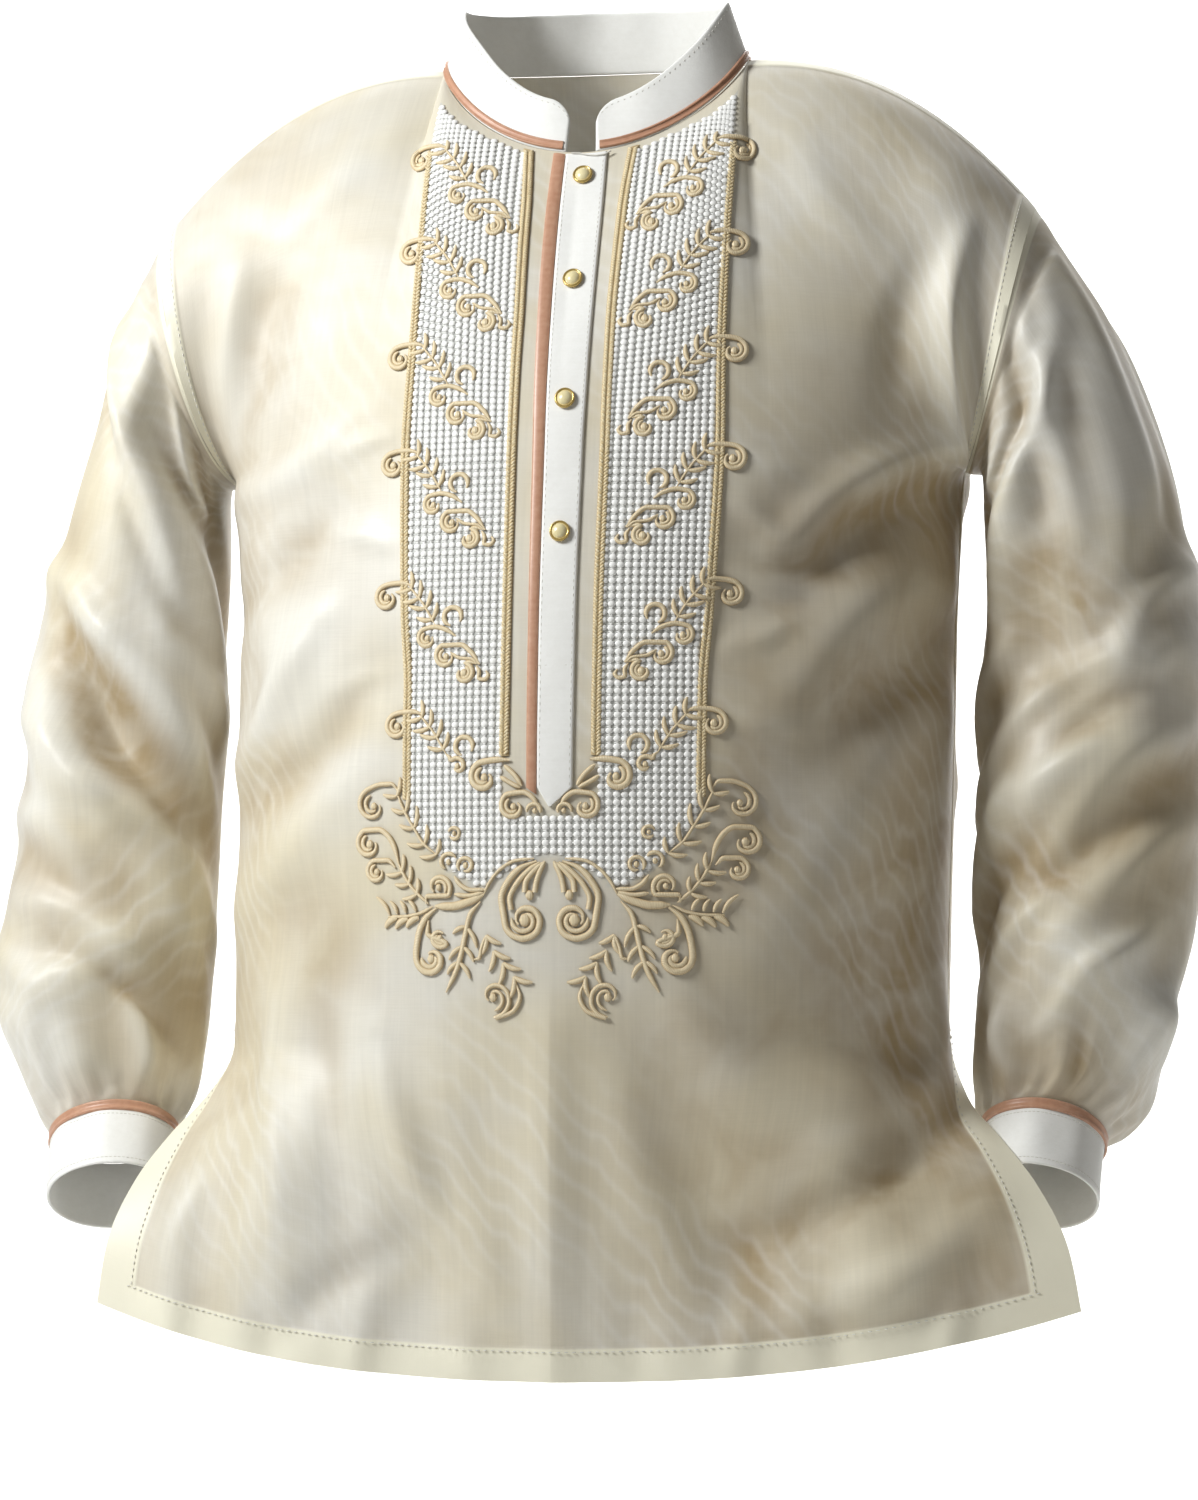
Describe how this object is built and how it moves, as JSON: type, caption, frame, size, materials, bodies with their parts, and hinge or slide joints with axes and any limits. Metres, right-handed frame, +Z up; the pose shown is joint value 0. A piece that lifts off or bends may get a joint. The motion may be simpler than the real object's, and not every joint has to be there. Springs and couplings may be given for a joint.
{
  "type": "barong tagalog shirt",
  "caption": "Long-sleeved sheer pullover shirt in its hollow worn form, with stand collar, half placket, openwork panel and raised scroll embroidery.",
  "frame": {"origin": "the middle of the neck opening at the height of the side-neck points, where the wearer holds the shirt up", "axes": "+Z up along the worn garment, the front faces -Y, the wearer's left is +X"},
  "size_m": [0.7385, 0.3398, 0.8364],
  "materials": {
    "sheer_cloth": "fine semi-sheer weave with a soft satin sheen",
    "white_cloth": "opaque matt plain weave",
    "white_openwork": "drawn-thread openwork in a square grid",
    "copper_piping": "satin piping",
    "gold_braid": "chain-stitch braid",
    "gold_thread": "glossy satin-stitch thread",
    "gilt_button": "glossy cream dome in a gilt rim"
  },
  "bodies": {
    "root": {"back": "sheer_cloth", "braid_inner_left": "gold_braid", "braid_inner_right": "gold_braid", "braid_outer_left": "gold_braid", "braid_outer_right": "gold_braid", "button_1": "gilt_button", "button_2": "gilt_button", "button_3": "gilt_button", "button_4": "gilt_button", "calado_panel": "white_openwork", "collar": "white_cloth", "collar_trim": "copper_piping", "cuff_left": "white_cloth", "cuff_right": "white_cloth", "cuff_trim_left": "copper_piping", "cuff_trim_right": "copper_piping", "front": "sheer_cloth", "placket": "white_cloth", "placket_trim": "copper_piping", "placket_under": "white_cloth", "sleeve_left": "sheer_cloth", "sleeve_right": "sheer_cloth", "spray_left_1": "gold_thread", "spray_left_2": "gold_thread", "spray_left_3": "gold_thread", "spray_left_4": "gold_thread", "spray_left_5": "gold_thread", "spray_left_6": "gold_thread", "spray_right_1": "gold_thread", "spray_right_2": "gold_thread", "spray_right_3": "gold_thread", "spray_right_4": "gold_thread", "spray_right_5": "gold_thread", "spray_right_6": "gold_thread", "tip_comma_left": "gold_thread", "tip_comma_right": "gold_thread", "wreath_branch_left": "gold_thread", "wreath_branch_right": "gold_thread", "wreath_drop_left": "gold_thread", "wreath_drop_right": "gold_thread", "wreath_fall_left": "gold_thread", "wreath_fall_right": "gold_thread", "wreath_leaf_left": "gold_thread", "wreath_leaf_right": "gold_thread", "wreath_scroll_left": "gold_thread", "wreath_scroll_right": "gold_thread", "wreath_stem_left": "gold_thread", "wreath_stem_right": "gold_thread", "wreath_volute_left": "gold_thread", "wreath_volute_right": "gold_thread"}
  },
  "joints": []
}
